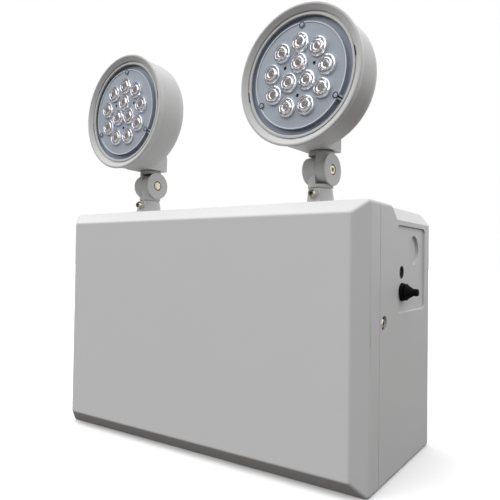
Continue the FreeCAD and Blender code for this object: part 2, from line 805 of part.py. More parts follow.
def make_knuckle_nut():
    outer = -knuckle_half_width + nut_pocket_depth - washer_thickness
    nut = hexagon(knuckle_nut_across_flats, V(outer - knuckle_nut_thickness, 0, 0), X_DIR * knuckle_nut_thickness)
    bore = rod(bolt_radius + thread_play, V(outer - knuckle_nut_thickness - 1, 0, 0), V(outer + 1, 0, 0))
    return nut.cut(bore)


def make_stub_nut():
    base = saddle_bottom + head_stub_length - stub_nut_thickness - 1
    nut = hexagon(stub_nut_across_flats, V(0, 0, base), Z_DIR * stub_nut_thickness)
    return nut.cut(rod(head_stub_radius + thread_play, V(0, 0, base - 1), V(0, 0, base + stub_nut_thickness + 1)))


# ================================================================ lamp head, round its own axis
# The head axis runs along -Y through the origin of this group; "forward" counts from the neck axis.
lip_front = rim_front - lip_depth
lip_back = lip_front - lip_thickness
gasket_back = lip_back - gasket_thickness
plate_face = lip_front - plate_face_below_lip
plate_back = plate_face - plate_thickness
annulus_face = gasket_back - annulus_below_gasket
annulus_back = annulus_face - annulus_floor
board_front = plate_back - board_below_plate
board_back = board_front - board_thickness
sink_back = board_back - sink_thickness
shell_front = rim_front - bezel_wall
dome_start = shell_front - shell_straight
skirt_radius = shell_radius - shell_wall - fit_gap


def polar(radius, degrees):
    """A point on the head's face: 0 degrees is to the right as seen from the front, 90 is up."""
    angle = math.radians(degrees)
    return V(radius * math.cos(angle), 0, radius * math.sin(angle))


def optic_places():
    places = []
    for count, pitch in ((outer_optic_count, outer_optic_pitch), (inner_optic_count, inner_optic_pitch)):
        for step in range(count):
            places.append(polar(pitch, 90 + optic_turn - 360.0 * step / count))
    return places


def plate_boss_places():
    return [polar(plate_boss_pitch, 90 + optic_turn + 120 * step) for step in range(3)]


def plate_screw_places():
    return [polar(plate_screw_pitch, 30 + optic_turn + 120 * step) for step in range(3)]


def make_bezel():
    cone_foot = rim_front - cone_depth
    groove_floor = lip_front - groove_depth
    lip_outer = cone_inner_radius - groove_width
    outline = [
        (rim_radius, rim_front - rim_rounding), (rim_radius - 0.4 * rim_rounding, rim_front - 0.3 * rim_rounding),
        (rim_radius - rim_rounding, rim_front),
        (rim_radius - rim_rounding - rim_land, rim_front), (cone_inner_radius, cone_foot),
        (cone_inner_radius, groove_floor), (lip_outer, groove_floor), (lip_outer, lip_front),
        (lip_inner_radius + lip_chamfer, lip_front), (lip_inner_radius, lip_front - lip_chamfer),
        (lip_inner_radius, lip_back), (skirt_radius - skirt_wall, lip_back),
        (skirt_radius - skirt_wall, shell_front - skirt_length), (skirt_radius, shell_front - skirt_length),
        (skirt_radius, shell_front), (bezel_back_radius, shell_front),
    ]
    ring = turned(outline)
    tools = []
    for angle in (slot_angle, slot_angle + 180):
        centre = polar(cone_inner_radius - groove_width / 2, 0)
        slot = box(centre.x - groove_width / 2, centre.x + groove_width / 2, -rim_front, -lip_back + 0.1,
                   -slot_length / 2, slot_length / 2)
        slot.rotate(V(0, 0, 0), Y_DIR, -angle)
        tools.append(slot)
    return ring.cut(tools)


def make_lens_gasket():
    outer = disc(gasket_radius, gasket_back, lip_back)
    return outer.cut(disc(gasket_radius - gasket_width, gasket_back - 1, lip_back + 1))


def optic_dome():
    """One lens of the optic plate: a low dome in front and a cone that narrows to its light source."""
    r, h = optic_radius, optic_dome_height
    sphere_radius = (r * r + h * h) / (2 * h)
    top = plate_face + h
    middle = V(r * 0.55, -(top - sphere_radius + math.sqrt(sphere_radius ** 2 - (r * 0.55) ** 2)), 0)
    arc = Part.Arc(V(r, -plate_face, 0), middle, V(0, -top, 0)).toShape()
    tip = board_front + chip_height + chip_gap
    rest = Part.makePolygon([V(0, -top, 0), V(0, -tip, 0), V(optic_cone_tip_radius, -tip, 0),
                             V(r - 1, -plate_back, 0), V(r, -plate_face, 0)])
    return Part.Face(Part.Wire([arc] + rest.Edges)).revolve(V(0, 0, 0), Y_DIR, 360)


def radial_bar(outward, sideways, width, reach, levels):
    """A straight bar that points away from the head axis, between two radii and two levels."""
    side = sideways * (width / 2)
    start = outward * reach[0] - Y_DIR * levels[0]
    end = outward * reach[1] - Y_DIR * levels[0]
    return prism([start - side, start + side, end + side, end - side], Y_DIR * (levels[0] - levels[1]))


def make_optic_plate():
    ring_inner = plate_radius - plate_ring_width
    outline = [
        (0, plate_back), (plate_radius - plate_side_wall, plate_back),
        (plate_radius - plate_side_wall, annulus_back), (flange_radius, annulus_back), (flange_radius, gasket_back), (annulus_radius, gasket_back),
        (annulus_radius, annulus_face), (plate_radius, annulus_face),
        (plate_radius, plate_face + plate_ring_height), (ring_inner, plate_face + plate_ring_height),
        (ring_inner, plate_face), (0, plate_face),
    ]
    plate = turned(outline)
    dome = optic_dome()
    parts = []
    for place in optic_places():
        copy = dome.copy()
        copy.translate(place)
        parts.append(copy)
    for place in plate_boss_places():
        parts.append(rod(plate_boss_radius, place - Y_DIR * board_front, place - Y_DIR * (plate_face + plate_ring_height)))
    for place in plate_screw_places():
        parts.append(rod(plate_screw_head_radius + 0.9, place - Y_DIR * board_front, place - Y_DIR * plate_face))
    outward = V(plate_boss_places()[2]).normalize()
    sideways = outward.cross(Y_DIR)
    parts.append(radial_bar(outward, sideways, plate_bridge_width, (plate_boss_pitch, plate_bridge_end),
                            (annulus_back, plate_face)))
    plate = plate.fuse(parts).removeSplitter()
    tools = []
    for place in plate_boss_places():
        top = place - Y_DIR * (plate_face + 1)
        tools.append(rod(plate_boss_hole, top, top + Y_DIR * (plate_thickness + 1)))
    tools.append(radial_bar(outward, sideways, plate_channel_width, (plate_boss_pitch, plate_bridge_end + 1),
                            (plate_face - plate_channel_depth, plate_face + 1)))
    for place in plate_screw_places():
        tools.append(rod(plate_screw_radius + thread_play, place - Y_DIR * (board_front - 1), place - Y_DIR * plate_face))
        seat = plate_face - plate_screw_head_height - 0.6
        tools.append(rod(plate_screw_head_radius + 0.15, place - Y_DIR * seat, place - Y_DIR * (plate_face + 1)))
    return plate.cut(tools)


def make_optic_screws():
    seat = plate_face - plate_screw_head_height - 0.6
    screws = []
    for place in plate_screw_places():
        length = seat - sink_back - 1
        screws.append(pan_screw(plate_screw_head_radius, plate_screw_head_height, plate_screw_radius, length,
                                place - Y_DIR * seat, V(0, -1, 0)))
    return Part.makeCompound(screws)


def make_led_board():
    board = disc(board_radius, board_back, board_front)
    tools = [disc(plate_screw_radius + 0.3, board_back - 1, board_front + 1).translate(place)
             for place in plate_screw_places()]
    return board.cut(tools)


def make_led_chips():
    chips = []
    half = chip_size / 2
    for place in optic_places():
        chips.append(box(place.x - half, place.x + half, -board_front - chip_height, -board_front,
                         place.z - half, place.z + half))
    return Part.makeCompound(chips)


def make_heat_sink():
    plate = disc(sink_radius, sink_back, board_back)
    fins = []
    for index in range(fin_count):
        x = (index - (fin_count - 1) / 2) * fin_spacing
        half_length = 0.62 * math.sqrt(sink_radius ** 2 - x ** 2)
        fins.append(box(x - fin_thickness / 2, x + fin_thickness / 2, -sink_back - 1, -sink_back + fin_height,
                        -half_length, half_length))
    plate = plate.fuse(fins).removeSplitter()
    holes = [disc(plate_screw_radius + thread_play, sink_back + 0.5, board_back + 1).translate(place)
             for place in plate_screw_places()]
    return plate.cut(holes)


def bowl(inset, front):
    """The round bowl: straight behind the bezel, then a tight shoulder arc and a wide arc across the back."""
    side = shell_radius - shell_shoulder_arc        # centre of the shoulder arc, from the head axis
    small = shell_shoulder_arc - inset
    reach = shell_dome_depth - shell_shoulder_arc
    crown = (side ** 2 + shell_dome_depth ** 2 - shell_shoulder_arc ** 2) / (2 * reach)
    large = crown - inset
    centre = V(0, shell_dome_depth - crown - dome_start, 0)
    shoulder_centre = V(side, -dome_start, 0)
    outward = (shoulder_centre - centre).normalize()
    meet = shoulder_centre + outward * small
    half_way = (outward + X_DIR).normalize()
    first = Part.Arc(V(shell_radius - inset, -dome_start, 0), shoulder_centre + half_way * small, meet).toShape()
    lean = (outward + Y_DIR).normalize()
    second = Part.Arc(meet, centre + lean * large, centre + Y_DIR * large).toShape()
    rest = Part.makePolygon([centre + Y_DIR * large, V(0, -front, 0), V(shell_radius - inset, -front, 0),
                             V(shell_radius - inset, -dome_start, 0)])
    return Part.Face(Part.Wire([first, second] + rest.Edges)).revolve(V(0, 0, 0), Y_DIR, 360)


def make_head_shell():
    outer = bowl(0, shell_front)
    inner = bowl(shell_wall, shell_front + 1)
    low = saddle_bottom - head_axis_above_knuckle
    points = [V(-saddle_half_width, -saddle_front, low), V(-saddle_half_width, saddle_back, low),
              V(-saddle_half_width, saddle_back, low + saddle_height),
              V(-saddle_half_width, saddle_back - 0.45 * saddle_slope, low + saddle_height + saddle_slope),
              V(-saddle_half_width, -saddle_front, low + saddle_height + saddle_slope)]
    saddle = prism(points, X_DIR * (2 * saddle_half_width))
    back_corners = edges_where(saddle, lambda a, b: close(a.y, saddle_back) and close(b.y, saddle_back)
                               and close(a.x, b.x))
    saddle = saddle.makeFillet(saddle_corner, back_corners)
    seat_room = box(-saddle_half_width, saddle_half_width, -saddle_front, saddle_back, low - saddle_height, low)
    body = outer.cut(seat_room).fuse(saddle).removeSplitter().cut(inner)
    ledge = turned([(shell_radius - shell_wall - ledge_width, sink_back - ledge_height),
                    (shell_radius - shell_wall + 0.5, sink_back - ledge_height),
                    (shell_radius - shell_wall + 0.5, sink_back),
                    (shell_radius - shell_wall - ledge_width, sink_back)])
    pad_top = saddle_bottom + head_stub_length - stub_nut_thickness - 1 - head_axis_above_knuckle
    pad = rod(stub_nut_across_flats * 0.62, V(0, 0, low + 2), V(0, 0, pad_top))
    body = body.fuse(ledge).fuse(pad).removeSplitter()
    nut_room = rod(stub_nut_across_flats * 0.66, V(0, 0, pad_top), V(0, 0, pad_top + 9))
    stub_hole = rod(head_stub_radius + fit_gap, V(0, 0, low - 1), V(0, 0, pad_top + 1))
    return body.cut([stub_hole, nut_room])


# ================================================================ inside the case
def make_battery():
    y0 = front_y + battery_front
    x1 = battery_left + battery_length
    block = box(battery_left, x1, y0, y0 + battery_width, wall, wall + battery_height)
    upright = edges_where(block, lambda a, b: close(a.x, b.x) and close(a.y, b.y))
    block = block.makeFillet(2.0, upright)
    lid_z = wall + battery_height * 0.86
    seam = box(battery_left - 1, x1 + 1, y0 - 1, y0 + battery_width + 1, lid_z, lid_z + 1)
    seam_core = box(battery_left + 0.8, x1 - 0.8, y0 + 0.8, y0 + battery_width - 0.8, lid_z - 1, lid_z + 2)
    return block.cut(seam.cut(seam_core))


def terminal_places():
    middle = battery_left + battery_length / 2
    return (middle - terminal_spacing / 2, middle + terminal_spacing / 2)


def make_battery_terminals():
    tabs = []
    y = front_y + battery_front + 12
    z = wall + battery_height
    for x in terminal_places():
        tabs.append(box(x - terminal_width / 2, x + terminal_width / 2, y, y + terminal_thickness, z, z + terminal_height))
    return Part.makeCompound(tabs)


def make_battery_strap():
    y0 = front_y + battery_front + battery_width / 2 - strap_width / 2
    y1 = y0 + strap_width
    left = battery_left - strap_gap
    right = battery_left + battery_length + strap_gap
    top = wall + battery_height + strap_gap
    t = strap_thickness
    outer_left, outer_right = left - t, right + t
    strap = box(outer_left, left, y0, y1, wall, top + t)
    strap = strap.fuse([
        box(right, outer_right, y0, y1, wall, top + t), box(left - t, right + t, y0, y1, top, top + t),
        box(outer_left - strap_foot, outer_left, y0, y1, wall, wall + t),
        box(outer_right, outer_right + strap_foot, y0, y1, wall, wall + t),
    ]).removeSplitter()
    y = (y0 + y1) / 2
    holes = [rod(strap_screw_radius + 0.3, V(x, y, 0), V(x, y, wall + t + 1)) for x in strap_foot_places()]
    return strap.cut(holes)


def make_strap_screws():
    y = front_y + battery_front + battery_width / 2
    seat_z = wall + strap_thickness
    screws = []
    for x in strap_foot_places():
        screws.append(pan_screw(strap_screw_head_radius, strap_screw_head_height, strap_screw_radius,
                                seat_z - 1.2, V(x, y, seat_z), Z_DIR))
    return Part.makeCompound(screws)


def core_windows(play):
    middle = core_left + core_width / 2
    z0 = wall + (core_height - core_window_height) / 2
    leg = core_width / 6
    windows = []
    for side in (-1, 1):
        inner = middle + side * leg
        outer = middle + side * (leg + core_window_width)
        windows.append((min(inner, outer) + play, max(inner, outer) - play, z0 + play, z0 + core_window_height - play))
    return windows


def make_transformer_core():
    y0 = front_y + core_front
    core = box(core_left, core_left + core_width, y0, y0 + core_depth, wall, wall + core_height)
    tools = [box(x0, x1, y0 - 1, y0 + core_depth + 1, z0, z1) for x0, x1, z0, z1 in core_windows(0)]
    return core.cut(tools)


def make_transformer_coil():
    y0 = front_y + core_front
    windows = core_windows(coil_play)
    x0, x1 = windows[0][0], windows[1][1]
    z0, z1 = windows[0][2], windows[0][3]
    leg_left, leg_right = windows[0][1], windows[1][0]
    coil = box(x0, x1, y0 - coil_overhang, y0 + core_depth + coil_overhang, z0, z1)
    ends = edges_where(coil, lambda a, b: close(a.x, b.x) and close(a.y, b.y))
    coil = coil.makeFillet(coil_overhang * 0.6, ends)
    hollow = box(leg_left, leg_right, y0 - coil_play, y0 + core_depth + coil_play, z0 - 1, z1 + 1)
    return coil.cut(hollow)


def make_charger_board():
    y1 = inner_back_y - standoff_height
    board = box(board_left, board_left + charger_length, y1 - charger_thickness, y1,
                board_bottom, board_bottom + charger_height)
    holes = [rod(board_screw_radius + 0.3, V(x, y1 - 5, z), V(x, y1 + 1, z)) for x, z in standoff_places()]
    return board.cut(holes)


def make_board_parts():
    face = inner_back_y - standoff_height - charger_thickness
    x0, z0 = board_left, board_bottom
    relay = box(x0 + 18, x0 + 46, face - 15, face, z0 + 50, z0 + 62)
    heat_fin = box(x0 + 60, x0 + 96, face - 24, face, z0 + 66, z0 + 69)
    connector = box(x0 + 108, x0 + 134, face - 11, face, z0 + 12, z0 + 22)
    fuse = rod(2.6, V(x0 + 64, face - 2.6, z0 + 20), V(x0 + 84, face - 2.6, z0 + 20))
    parts = [relay, heat_fin, connector, fuse]
    for x, z, radius, height in ((26, 24, 8.0, 30), (48, 24, 6.3, 22), (112, 52, 5.0, 16)):
        parts.append(rod(radius, V(x0 + x, face, z0 + z), V(x0 + x, face - height, z0 + z)))
    return Part.makeCompound(parts)


def make_board_screws():
    seat_y = inner_back_y - standoff_height - charger_thickness
    screws = []
    for x, z in standoff_places():
        screws.append(pan_screw(board_screw_head_radius, board_screw_head_height, board_screw_radius, 7.0,
                                V(x, seat_y, z), V(0, -1, 0)))
    return Part.makeCompound(screws)


def make_terminal_block():
    y1 = inner_back_y
    x0, x1 = block_left, block_left + block_length
    z0, z1 = block_bottom, block_bottom + block_height
    body = box(x0, x1, y1 - block_depth * 0.6, y1, z0, z1)
    barrier_width = 1.6
    pitch = (block_length - barrier_width) / block_ways
    walls = [box(x0 + i * pitch, x0 + i * pitch + barrier_width, y1 - block_depth, y1 - 1, z0, z1)
             for i in range(block_ways + 1)]
    body = body.fuse(walls).removeSplitter()
    z = (z0 + z1) / 2
    holes = [rod(board_screw_radius + 0.3, V(x, y1 - block_depth - 1, z), V(x, y1 + 1, z)) for x in block_screw_places()]
    return body.cut(holes)


def make_block_screws():
    z = block_bottom + block_height / 2
    seat_y = inner_back_y - block_depth * 0.6
    return Part.makeCompound([
        pan_screw(board_screw_head_radius, board_screw_head_height, board_screw_radius, block_depth * 0.6 + 1.5,
                  V(x, seat_y, z), V(0, -1, 0)) for x in block_screw_places()])


# ================================================================ putting the heads together
def place_swivelling(shape, side):
    """From the knuckle's own frame to the case: mirrored for the left neck, then turned."""
    moved = shape.copy() if side > 0 else mirrored(shape)
    moved.rotate(V(0, 0, 0), Z_DIR, head_turn_at_rest)
    moved.translate(V(side * neck_x, neck_axis_y, knuckle_z))
    return moved


def place_tilting(shape, side):
    """As place_swivelling, with the tilt of the head first."""
    moved = shape.copy()
    moved.rotate(V(0, 0, 0), X_DIR, -head_tilt_at_rest)
    return place_swivelling(moved, side)


def place_lamp(shape, side):
    """From the lamp's own axis to the case. Both lamps are alike, so they aren't mirrored."""
    moved = shape.copy()
    moved.translate(V(0, 0, head_axis_above_knuckle))
    moved.rotate(V(0, 0, 0), X_DIR, -head_tilt_at_rest)
    moved.rotate(V(0, 0, 0), Z_DIR, head_turn_at_rest)
    moved.translate(V(side * neck_x, neck_axis_y, knuckle_z))
    return moved


def case_pieces():
    return {
        "back_housing": make_housing(),
        "front_cover": make_cover(),
        "cover_gasket": make_cover_gasket(),
        "cover_screws": make_cover_screws(),
        "test_switch_boot": make_switch_boot(),
        "test_switch_body": make_switch_body(),
        "test_button": make_test_button(),
        "charge_lamp": make_indicator(),
        "charge_lamp_holder": make_indicator_holder(),
        "battery": make_battery(),
        "battery_terminals": make_battery_terminals(),
        "battery_strap": make_battery_strap(),
        "strap_screws": make_strap_screws(),
        "transformer_core": make_transformer_core(),
        "transformer_coil": make_transformer_coil(),
        "charger_board": make_charger_board(),
        "charger_board_parts": make_board_parts(),
        "charger_board_screws": make_board_screws(),
        "terminal_block": make_terminal_block(),
        "terminal_block_screws": make_block_screws(),
    }


def neck_and_head_pieces():
    pieces = {}
    neck_makers = {"collar": make_collar, "collar_locknut": make_locknut, "lock_screw": make_lock_screw}
    swivel_makers = {"lower_knuckle": make_lower_knuckle, "knuckle_nut": make_knuckle_nut,
                     "knuckle_washer": make_knuckle_washer}
    tilt_makers = {"upper_knuckle": make_upper_knuckle, "knuckle_bolt": make_knuckle_bolt,
                   "stub_nut": make_stub_nut}
    lamp_makers = {"head_shell": make_head_shell, "bezel": make_bezel,
                   "lens_gasket": make_lens_gasket, "optic_plate": make_optic_plate,
                   "optic_screws": make_optic_screws, "led_board": make_led_board,
                   "led_chips": make_led_chips, "heat_sink": make_heat_sink}
    sided_makers = (make_lower_knuckle, make_upper_knuckle)
    groups = ((neck_makers, at_neck), (swivel_makers, place_swivelling),
              (tilt_makers, place_tilting), (lamp_makers, place_lamp))
    for makers, place in groups:
        for name, maker in makers.items():
            for side, side_name in ((-1, "left"), (1, "right")):
                shape = maker(side) if maker in sided_makers else maker()
                pieces[side_name + "_" + name] = place(shape, side)
    return pieces


def main():
    os.makedirs("parts", exist_ok=True)
    pieces = case_pieces()
    pieces.update(neck_and_head_pieces())
    for name, shape in pieces.items():
        shape.exportStep(os.path.join("parts", name + ".step"))


main()
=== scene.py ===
import bpy
import json
import math
from mathutils import Matrix, Quaternion, Vector


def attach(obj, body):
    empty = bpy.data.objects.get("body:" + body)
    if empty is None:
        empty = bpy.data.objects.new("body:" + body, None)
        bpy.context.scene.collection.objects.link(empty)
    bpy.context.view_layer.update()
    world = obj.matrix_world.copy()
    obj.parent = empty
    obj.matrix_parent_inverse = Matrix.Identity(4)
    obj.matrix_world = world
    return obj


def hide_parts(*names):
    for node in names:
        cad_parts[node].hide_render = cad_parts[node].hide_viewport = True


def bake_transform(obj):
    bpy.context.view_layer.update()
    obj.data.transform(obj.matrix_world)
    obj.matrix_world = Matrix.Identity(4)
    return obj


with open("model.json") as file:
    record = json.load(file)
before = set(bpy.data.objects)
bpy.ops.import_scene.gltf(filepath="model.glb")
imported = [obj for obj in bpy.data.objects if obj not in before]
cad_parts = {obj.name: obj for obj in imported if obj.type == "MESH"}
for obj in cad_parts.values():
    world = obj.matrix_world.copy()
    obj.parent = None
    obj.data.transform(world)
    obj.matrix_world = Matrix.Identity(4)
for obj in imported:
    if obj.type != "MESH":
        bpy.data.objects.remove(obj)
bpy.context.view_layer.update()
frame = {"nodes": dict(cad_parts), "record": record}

# Metres throughout. X is to the right as seen from the front, +Y goes back to the wall, +Z is up.
NECK_X = 0.112
NECK_Y = -0.027
KNUCKLE_Z = 0.2735
HEAD_TURN = math.radians(-4.1)
HEAD_TILT = math.radians(1.4)
HEAD_RISE = 0.0785              # from the knuckle's axis to the lamp's axis
HEADS = ((-1, "left"), (1, "right"))

# The optic plates: where they lie along the head axes, and the circles that their parts lie on
PLATE_FORWARD = 0.0417
PLATE_RADIUS = 0.0479
RIM_OUTER = PLATE_RADIUS - 0.0003       # the painted highlight along the plate's edge
RIM_INNER = PLATE_RADIUS - 0.0011
LENS_CIRCLES = ((9, 0.0294), (3, 0.0110))   # how many lenses, and the radius of their circle
BOSS_COUNT = 3
BOSS_PITCH = 0.0453
BOSS_RISE = 0.0006
FIRST_ANGLE = 87                # degrees, of the first lens and the first boss
KEY_SLOT_ANGLES = (10, 190)
KEY_SLOT_PITCH = 0.0564
KEY_SLOT_DEPTH = 0.0008
KEY_SLOT_SIZE = (0.0014, 0.0016, 0.0092)
CHANNEL_ANGLE = -33
CHANNEL_PITCH = 0.0503
CHANNEL_DEPTH = 0.0007
CHANNEL_SIZE = (0.0058, 0.0012, 0.0013)
BAR_ROUNDING = 0.0002           # on the edges of every small dark bar

# The test switch and the charge lamp, where they meet the side panel
SWITCH_PLACE = (0.17945, 0.0055, 0.161)
LAMP_PLACE = (0.17945, 0.0055, 0.179)

# The faces of the cover screws' heads and of the locking screws' heads, and their crosses
COVER_SCREW_X = 0.18075
COVER_SCREW_Y = -0.0434
COVER_SCREW_Z = 0.1365
COVER_WELL_DEPTH = 0.0015
COVER_CROSS_DEPTH = 0.0004
COVER_CROSS_BAR = (0.0010, 0.0042, 0.0010)
LOCK_SCREW_Y = -0.0467
LOCK_SCREW_Z = 0.2504
LOCK_CROSS_DEPTH = 0.0009
LOCK_CROSS_BAR = (0.0044, 0.0020, 0.0011)
CROSS_TURN = math.radians(25)

# The light of the room, as strengths
SKY_LEVEL = 0.30                # at the horizon
SKY_RISE = 2.85                 # how fast it grows above the horizon
SKY_CROWN = 1.80                # how much of that is lost again towards the top
SKY_SIDE = 0.12                 # taken away towards +X
SKY_HORIZON = -0.02             # the height below which there is only the least light
SKY_LEAST = 0.06
LAMP_SIDE = (-0.50, -0.35, 0.79)
LAMP_STRENGTH = 6.0             # of the large soft lamp on that side
LAMP_EDGE = 0.70                # cosine of the lamp's half width

# What glossy surfaces mirror: a dark wall, and a bright window up and to the +X side
WINDOW_SIDE = 0.8
WINDOW_RISE = 0.6
WINDOW_MARGIN = 0.02
WINDOW_SHARPNESS = 5
WINDOW_WALL = (0.10, 0.085, 0.08)
WINDOW_STRENGTH = 1.7

FLOOR_SIZE = 30
FLOOR_COLOUR = (0.93, 0.93, 0.93)
FLOOR_BOUNCE = (0.026, 0.019, 0.016)
FLOOR_IN_GLOSS = (0.30, 0.29, 0.28)

CAMERA_LENS = 38.45             # in millimetres, as the sensor is
CAMERA_SENSOR = 36
CAMERA_REACH = 100
CAMERA_PLACE = (0.34175, -0.479, 0.1873)
CAMERA_AHEAD = (-0.565, 0.825, 0.021)
CAMERA_ROLL = math.radians(0.81)

EDGE_SAMPLES = 4                # of the painted edge highlights of every finish
EDGE_GAIN = 6


# ---------------------------------------------------------------- shader maths
class Wire:
    """A socket that takes part in Python sums; each operator adds a Math node."""

    def __init__(self, owner, socket):
        self.owner = owner
        self.socket = socket

    def _math(self, operation, *values):
        return self.owner.node("ShaderNodeMath", {"operation": operation}, dict(enumerate(values)))

    def __add__(self, other):
        return self._math("ADD", self, other)

    __radd__ = __add__

    def __mul__(self, other):
        return self._math("MULTIPLY", self, other)

    __rmul__ = __mul__

    def __sub__(self, other):
        return self._math("SUBTRACT", self, other)

    def __rsub__(self, other):
        return self._math("SUBTRACT", other, self)

    def __lt__(self, other):
        return self._math("LESS_THAN", self, other)

    def __gt__(self, other):
        return self._math("GREATER_THAN", self, other)

    def smaller(self, other):
        return self._math("MINIMUM", self, other)

    def larger(self, other):
        return self._math("MAXIMUM", self, other)


class NodeTree:
    """A node tree with short ways to add its nodes."""

    def __init__(self, owner):
        owner.use_nodes = True
        self.tree = owner.node_tree
        self.tree.nodes.clear()

    def node(self, kind, settings, sockets, output=0):
        """Adds a node from its type, its settings, the values or links of its sockets, and its output."""
        made = self.tree.nodes.new(kind)
        for name, value in settings.items():
            setattr(made, name, value)
        for name, value in sockets.items():
            if isinstance(value, Wire):
                self.tree.links.new(value.socket, made.inputs[name])
            else:
                made.inputs[name].default_value = value
        return Wire(self, made.outputs[output] if made.outputs else None)

    def blend_colour(self, amount, first, second):
        """From the first colour at 0 to the second at 1; a Math node would turn them grey."""
        mixed = self.node("ShaderNodeMix", {"data_type": "RGBA"}, {"Factor": amount}, 2)
        made = mixed.socket.node
        for socket, colour in ((made.inputs[6], first), (made.inputs[7], second)):
            if isinstance(colour, Wire):
                self.tree.links.new(colour.socket, socket)
            else:
                socket.default_value = (*colour, 1)
        return mixed

    def outputs_of(self, wire, *names):
        """Other outputs of a node that has been made."""
        return [Wire(self, wire.socket.node.outputs[name]) for name in names]


class Finish(NodeTree):
    """One material, built up from its nodes."""

    def __init__(self, name):
        self.material = bpy.data.materials.new(name)
        super().__init__(self.material)
        self.place = self.node("ShaderNodeTexCoord", {}, {}, "Object")

    def noise(self, scale, detail=2.0, roughness=0.5):
        """Soft spots over the piece; a larger scale makes them finer."""
        return self.node("ShaderNodeTexNoise", {}, {
            "Vector": self.place, "Scale": scale, "Detail": detail, "Roughness": roughness})

    def bump(self, height, distance, strength, below=None):
        """A normal that follows small heights, over another such normal where one is given."""
        sockets = {"Height": height, "Distance": distance, "Strength": strength}
        if below is not None:
            sockets["Normal"] = below
        return self.node("ShaderNodeBump", {}, sockets)

    def edges(self, radius):
        """A mask that is about 1 on sharp edges, where the finishes paint pale highlights; the case plastic
        is also made smoother there.
        """
        soft = self.node("ShaderNodeBevel", {"samples": EDGE_SAMPLES}, {"Radius": radius})
        hard = self.node("ShaderNodeNewGeometry", {}, {}, "Normal")
        match = self.node("ShaderNodeVectorMath", {"operation": "DOT_PRODUCT"}, {0: soft, 1: hard}, "Value")
        return ((1 - match) * EDGE_GAIN).smaller(1)

    def surface(self, **sockets):
        """The Principled shader, with plain words for its sockets."""
        named = {}
        for name, value in sockets.items():
            named[name.replace("_", " ").title().replace("Ior", "IOR")] = value
        return self.node("ShaderNodeBsdfPrincipled", {}, named)

    def done(self, shader):
        """Closes the material with its shader."""
        self.node("ShaderNodeOutputMaterial", {}, {"Surface": shader})
        return self.material


# ---------------------------------------------------------------- finishes
def shaded(colour, share, lift=0.0):
    """A colour made darker or paler by a share, then lifted alike in each channel."""
    return tuple(min(1.0, channel * share + lift) for channel in colour)


def moulded_plastic(name, colour, grain=1.0, gloss=0.46):
    """Light case plastic with a fine spark-eroded grain, faint flow mottling, and painted highlights along
    its edges.
    """
    f = Finish(name)
    mottle = f.noise(16, 3)
    fine = f.noise(160, 2)
    painted_edge_highlight = f.edges(0.0012)
    base = f.blend_colour(mottle * 0.5, colour, shaded(colour, 0.965))
    # Painted highlight: the edges are made paler.
    base = f.blend_colour(painted_edge_highlight * 0.6, base, shaded(colour, 1.16))
    grain_height = f.noise(2600, 2, 0.6) * 0.6 + f.noise(900, 2) * 0.4
    normal = f.bump(grain_height, 0.00004 * grain, 0.35)
    normal = f.bump(mottle, 0.0006, 0.06, normal)
    rough = gloss + fine * 0.08 - painted_edge_highlight * 0.08
    return f.done(f.surface(base_color=base, roughness=rough, normal=normal, ior=1.49))


def screw_metal(name, colour, dark):
    """Plated steel with turned marks and darker plating in the hollows."""
    f = Finish(name)
    marks = f.noise(4200, 2)
    stain = f.noise(420, 3)
    painted_edge_highlight = f.edges(0.0004)
    base = f.blend_colour((stain * 1.3 - 0.3).larger(0), colour, dark)
    # Painted highlight: the edges are made paler.
    base = f.blend_colour(painted_edge_highlight * 0.5, base, shaded(colour, 1.15))
    rough = 0.24 + marks * 0.16
    normal = f.bump(marks, 0.00002, 0.4)
    return f.done(f.surface(base_color=base, metallic=1.0, roughness=rough, normal=normal))


def soft_rubber(name, colour, shine, gleam):
    """Moulded rubber with a little dust and bloom; the gleam is how strongly it mirrors."""
    f = Finish(name)
    dust = f.noise(300, 3)
    bloom = f.noise(60, 2)
    base = f.blend_colour(dust * 0.5, colour, shaded(colour, 1.6, 0.001))
    normal = f.bump(f.noise(1800, 2), 0.00003, 0.3)
    rough = shine + bloom * 0.15
    return f.done(f.surface(base_color=base, roughness=rough, normal=normal, specular_ior_level=gleam))


def dark_plastic(name, colour, shine=0.4):
    """Plain moulded plastic of a dark colour, with painted highlights that make its edges paler."""
    f = Finish(name)
    painted_edge_highlight = f.edges(0.0005)
    cloud = f.noise(120, 2)
    # Painted highlight: the edges are made paler.
    base = f.blend_colour(painted_edge_highlight * 0.5, colour, shaded(colour, 1.6, 0.02))
    base = f.blend_colour(cloud * 0.3, base, shaded(colour, 0.8))
    normal = f.bump(f.noise(1500, 2), 0.00003, 0.3)
    return f.done(f.surface(base_color=base, roughness=shine + cloud * 0.12, normal=normal))


def moulded_optic(name, centre, axis):
    """Clear plastic over a pale reflector: a frosted plate with a painted highlight along its edge and
    painted shade on the ring round it.
    """
    f = Finish(name)
    frost = f.noise(900, 2)
    cloud = f.noise(40, 2)
    rel = f.node("ShaderNodeVectorMath", {"operation": "SUBTRACT"}, {0: f.place, 1: centre})
    aside = f.node("ShaderNodeVectorMath", {"operation": "CROSS_PRODUCT"}, {0: rel, 1: axis})
    radius = f.node("ShaderNodeVectorMath", {"operation": "LENGTH"}, {0: aside}, "Value")
    painted_rim_highlight = (radius > RIM_INNER) * (radius < RIM_OUTER)
    outside = radius > PLATE_RADIUS
    base = f.blend_colour(frost * 0.4, (0.43, 0.48, 0.55), (0.38, 0.42, 0.48))
    haze = ((cloud - 0.35) * 2).larger(0).smaller(1)
    base = f.blend_colour(haze * 0.6, base, (0.33, 0.37, 0.43))
    # Painted shade: the ring outside the plate is made darker.
    base = f.blend_colour(outside, base, (0.33, 0.37, 0.44))
    # Painted highlight: a pale line along the plate's edge.
    base = f.blend_colour(painted_rim_highlight * 0.8, base, (0.80, 0.84, 0.88))
    normal = f.bump(f.noise(1400, 2), 0.00002, 0.25)
    return f.done(f.surface(base_color=base, roughness=0.24 + frost * 0.1, normal=normal, ior=1.45))


